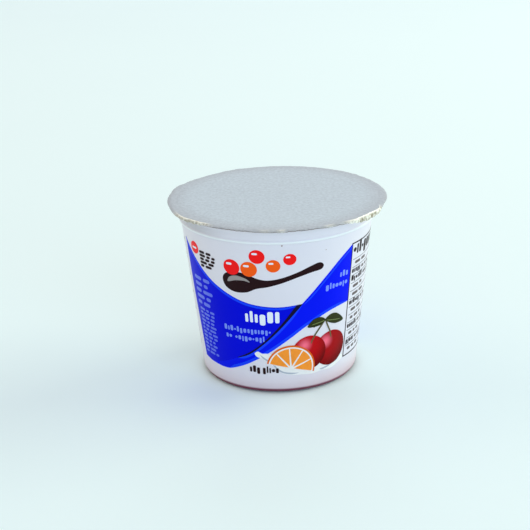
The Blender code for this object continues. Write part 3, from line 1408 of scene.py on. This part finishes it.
@dataclass
class FruitPicture(Picture):
    """Two cherries and half an orange slice on a splash of cream."""

    near_centre: Point = (9.2, 13.4)
    near_radius: float = 5.8
    far_centre: Point = (17.0, 13.4)
    far_radius: float = 5.9
    slice_centre: Point = (3.2, 8.6)
    slice_radius: float = 8.0
    slice_tilt: float = -14.0
    rind: float = 0.55
    pulp_inset: float = 1.0
    core: float = 0.9
    segments: int = 5
    segment_gap: float = 1.5
    cherry_steps: int = 72

    CREAM = (
        (-8.4, 13.7), (-7.3, 14.5), (-6.0, 13.9), (-4.2, 13.9), (0.0, 13.0), (8.0, 10.0), (17.0, 9.5),
        (22.6, 9.4), (22.7, 8.0), (20.6, 7.0), (17.4, 6.1), (14.0, 6.3), (10.6, 5.9), (6.2, 6.2),
        (1.8, 6.6), (-0.6, 7.7), (-2.0, 9.4), (-4.4, 10.6), (-5.9, 12.1), (-7.6, 12.6),
    )
    FOLDS = (
        ((-6.6, 13.4), (-4.6, 12.0), (-2.4, 10.5), (-0.8, 8.6), (1.6, 7.4), (5.8, 6.9)),
        ((13.0, 6.9), (16.0, 7.4), (18.2, 8.2), (20.8, 8.9)),
    )
    LEAVES = (
        ((14.4, 23.7), (12.6, 24.9), (10.2, 24.5), (8.4, 22.3), (10.6, 22.0), (12.8, 22.3)),
        ((14.4, 23.6), (16.4, 25.0), (19.0, 24.6), (21.6, 21.9), (18.8, 21.4), (16.2, 22.2)),
    )
    VEINS = (((14.2, 23.5), (9.6, 22.8)), ((14.7, 23.4), (20.2, 22.4)))
    STALKS = (
        ((14.4, 23.8), (12.6, 21.4), (10.6, 18.6), (9.6, 16.4)),
        ((14.4, 23.8), (15.4, 21.4), (16.4, 19.2), (16.9, 16.8)),
    )

    def build(self) -> None:
        """Prints the picture from the back to the front."""
        self.print_layer("ink_cream", 4, [smooth_loop(self.CREAM)], Ink.CREAM)
        folds = [beside(fold, 0.0, 0.55) for fold in self.FOLDS]
        self.print_layer("ink_cream_folds", 5, folds, Ink.SHADE)
        self.print_layer("ink_leaves", 9, [smooth_loop(leaf) for leaf in self.LEAVES], Ink.LEAF)
        self.print_layer("ink_veins", 10, [beside(vein, -0.1, 0.12) for vein in self.VEINS], Ink.VEIN)
        far = disc(self.far_centre, self.far_radius, self.cherry_steps)
        self.print_layer("ink_far_cherry", 6, [far], Ink.FAR_CHERRY)
        near = disc(self.near_centre, self.near_radius, self.cherry_steps)
        self.print_layer("ink_near_cherry", 7, [near], Ink.NEAR_CHERRY)
        stalks = [beside(stalk, -0.22, 0.24) for stalk in self.STALKS]
        self.print_layer("ink_stalks", 8, stalks[:1], Ink.STALK)
        self.print_layer("ink_stalks_far", 7, stalks[1:], Ink.STALK)
        self.slice()

    def slice(self) -> None:
        """Prints the half slice: the rind, the pale pith and the segments of pulp."""
        start, end = self.slice_tilt, self.slice_tilt + 180.0
        self.print_layer("ink_rind", 8, [self.half(self.slice_radius, start, end)], Ink.RIND)
        pith = [self.half(self.slice_radius - self.rind, start, end)]
        self.print_layer("ink_pith", 9, pith, Ink.CREAM)
        step = 180.0 / self.segments
        middles = [start + step * (place + 0.5) for place in range(self.segments)]
        wedges = [self.wedge(middle, 0.5 * step - self.segment_gap) for middle in middles]
        self.print_layer("ink_pulp", 10, wedges, Ink.PULP)

    def half(self, radius: float, start: float, end: float) -> list[Point]:
        """Draws a half disc round the slice's centre."""
        return arc_points(self.slice_centre, radius, start, end, 48)

    def wedge(self, middle: float, half_angle: float) -> list[Point]:
        """Draws a segment of pulp.

        Args:
            middle: Its direction from the slice's centre, in degrees.
            half_angle: Half of its angle.

        Returns:
            Its outline.
        """
        turn = math.radians(middle)
        inner = (
            self.slice_centre[0] + self.core * math.cos(turn),
            self.slice_centre[1] + self.core * math.sin(turn),
        )
        radius = self.slice_radius - self.pulp_inset
        return [inner, *arc_points(self.slice_centre, radius, middle - half_angle, middle + half_angle, 8)]


@dataclass
class InformationPanel(Picture):
    """The framed panel of rows and rules, with blocks for its heading."""

    left: float = 23.3
    bottom: float = 7.9
    width: float = 29.0
    height: float = 38.4
    line: float = 0.4
    margin: float = 1.1
    heading: float = 42.2
    heading_height: float = 3.1
    heading_words: tuple[Point, ...] = ((0.0, 11.6), (12.8, 12.4))
    first_row: float = 38.8
    row_pitch: float = 2.66
    rows: int = 12
    rule_lift: float = 1.75
    rule: float = 0.12
    bold_rows: tuple[int, ...] = (1, 2, 5, 8, 10)
    bold_lengths: Point = (4.2, 7.6)
    bold_height: float = 1.3
    word_height: float = 0.9
    word_run: float = 8.0
    value_inset: float = 3.0
    value_width: float = 2.6
    indent: float = 1.2
    seed: int = 21

    def build(self) -> None:
        """Prints the frame and rules, the bold rows and the small rows."""
        inner = box(
            self.left + self.line,
            self.bottom + self.line,
            self.width - 2 * self.line,
            self.height - 2 * self.line,
        )
        outer = box(self.left, self.bottom, self.width, self.height)
        self.print_layer("ink_panel_frame", 2, [outer, inner], Ink.BLACK)
        text_left = self.left + self.margin
        text_width = self.width - 2 * self.margin
        bold = []
        for start, length in self.heading_words:
            word = BlockRow(text_left + start, self.heading, length, self.heading_height, 1.2, 0.5)
            bold += word.shapes()
        small = []
        draw = random.Random(self.seed)
        for row in range(self.rows):
            base = self.first_row - row * self.row_pitch
            bold.append(box(text_left, base + self.rule_lift, text_width, self.rule))
            at = text_left + self.indent
            if row in self.bold_rows:
                length = draw.uniform(*self.bold_lengths)
                bold += BlockRow(text_left, base, length, self.bold_height, 0.8, 0.3).shapes()
                at = text_left + length + self.word_height
            seed = self.seed + row
            words = WordBars(at, base + 1.0, self.word_run, 1, self.word_height, 2.0, seed, ragged=0.2)
            small += words.shapes()
            value_left = text_left + text_width - self.value_inset
            small.append(bar(value_left, base + 0.1, self.value_width, self.word_height))
        self.print_layer("ink_panel_bold", 2, bold, Ink.BLACK)
        self.print_layer("ink_panel_rows", 2, small, Ink.SMALL)


@dataclass
class SideText(Picture):
    """The column of small rows, and the block of upright lines, left of the blue field."""

    left: float = 113.2
    column: float = 19.0
    code_bottom: float = 8.2
    code_width: float = 18.0
    code_height: float = 7.0
    line_widths: Point = (0.25, 0.5)
    line_gaps: Point = (0.3, 0.6)
    seed: int = 40

    def build(self) -> None:
        """Prints the column's rows and the block under them."""
        rows = WordBars(self.left, 45.0, self.column, 9, 0.9, 1.7, seed=31, ragged=0.2).shapes()
        rows += WordBars(self.left, 27.0, self.column, 7, 0.75, 1.4, seed=32, ragged=0.25).shapes()
        self.print_layer("ink_side_rows", 1, rows, Ink.SMALL)
        self.print_layer("ink_code_block", 1, self.code_block(), Ink.BLACK)

    def code_block(self) -> list[list[Point]]:
        """Draws a plain block of upright lines of two widths.

        Returns:
            The outline of each line.
        """
        draw = random.Random(self.seed)
        lines = []
        at = self.left
        while at < self.left + self.code_width:
            width = draw.choice(self.line_widths)
            lines.append(box(at, self.code_bottom, width, self.code_height))
            at += width + draw.choice(self.line_gaps)
        return lines


@dataclass
class Print:
    """All the print round the wall: the front, its repeat at the back, and the columns."""

    repeat_shift: float = 87.8

    def build(self) -> None:
        """Prints the pictures from the lowest to the highest, then their repeats."""
        for picture in (BlueFields(), FrontBars(), SpoonMark(), FruitPicture()):
            picture.build()
            picture.repeat(self.repeat_shift)
            LOG.info("%s: %d layers", type(picture).__name__, len(picture.layers))
        for picture in (InformationPanel(), SideText()):
            picture.build()
            LOG.info("%s: %d layers", type(picture).__name__, len(picture.layers))


@dataclass(frozen=True)
class SoftLamp:
    """A square soft lamp that hangs where it is told and faces the pot."""

    name: str
    place: tuple[float, float, float]
    power: float
    tint: tuple[float, float, float]
    size: float = 0.9

    def build(self) -> None:
        """Hangs the lamp."""
        lamp = bpy.data.lights.new(self.name, "AREA")
        lamp.size = self.size
        lamp.energy = self.power
        lamp.color = self.tint
        holder = bpy.data.objects.new(self.name, lamp)
        holder.location = self.place
        holder.rotation_euler = Vector(self.place).to_track_quat("Z", "Y").to_euler()
        bpy.context.scene.collection.objects.link(holder)


@dataclass
class Studio:
    """The pale floor, the soft lights and the camera."""

    floor_size: float = 14.0
    sky_strength: float = 0.665
    lamps: tuple[SoftLamp, ...] = (
        SoftLamp("right lamp", (1.1, 0.35, 0.5), 7.4, (0.95, 1.0, 0.8)),
        SoftLamp("back lamp", (0.1, 1.3, 0.9), 2.7, (0.7, 0.86, 1.0)),
        SoftLamp("left lamp", (-1.1, 0.4, 0.8), 2.6, (1.0, 0.92, 0.66)),
        SoftLamp("near lamp", (0.6, -1.1, 0.5), 4.7, (0.5, 0.76, 1.0)),
    )
    camera_place: tuple[float, float, float] = (-4.046 * MM, -371.44 * MM, 171.63 * MM)
    camera_elevation: float = 20.454
    camera_roll: float = 1.637
    lens: float = 85.06
    sensor: float = 36.0
    clip: Point = (0.01, 20.0)

    def build(self) -> None:
        """Makes the floor, the lights and the camera."""
        self.floor()
        self.world()
        self.camera()

    def floor(self) -> None:
        """Lays a wide pale floor."""
        deselect_all()
        bpy.ops.mesh.primitive_plane_add(size=self.floor_size)
        bpy.ops.object.mode_set(mode="EDIT")
        bpy.ops.mesh.subdivide(number_cuts=4)
        bpy.ops.object.mode_set(mode="OBJECT")
        floor = bpy.context.object
        floor.name = "floor"
        finish = Finish("Floor", shade(235, 251, 251), roughness=0.7, variation=0.02, cloud_size=0.2)
        floor.data.materials.append(finish.material())

    def world(self) -> None:
        """Sets an even pale sky and hangs the soft lamps."""
        scene = bpy.context.scene
        scene.view_settings.view_transform = "Standard"
        scene.world = bpy.data.worlds.new("Studio")
        scene.world.use_nodes = True
        sky = scene.world.node_tree.nodes["Background"]
        sky.inputs["Color"].default_value = (0.985, 0.975, 1.0, 1.0)
        sky.inputs["Strength"].default_value = self.sky_strength
        for lamp in self.lamps:
            lamp.build()

    def camera(self) -> None:
        """Places the camera at the photograph's viewing angle."""
        scene = bpy.context.scene
        lens = bpy.data.cameras.new("camera")
        lens.lens = self.lens
        lens.sensor_width = self.sensor
        lens.clip_start, lens.clip_end = self.clip
        holder = bpy.data.objects.new("camera", lens)
        tilt = Matrix.Rotation(math.radians(90.0 - self.camera_elevation), 4, "X")
        roll = Matrix.Rotation(math.radians(-self.camera_roll), 4, "Z")
        holder.matrix_world = Matrix.Translation(self.camera_place) @ tilt @ roll
        scene.collection.objects.link(holder)
        scene.camera = holder


def main() -> None:
    """Builds each part of the scene in order and says what was made."""
    logging.basicConfig(level=logging.INFO, format="%(name)s: %(message)s")
    Studio().build()
    Cup().build()
    Lid().build()
    Print().build()


if __name__ == "__main__":
    main()
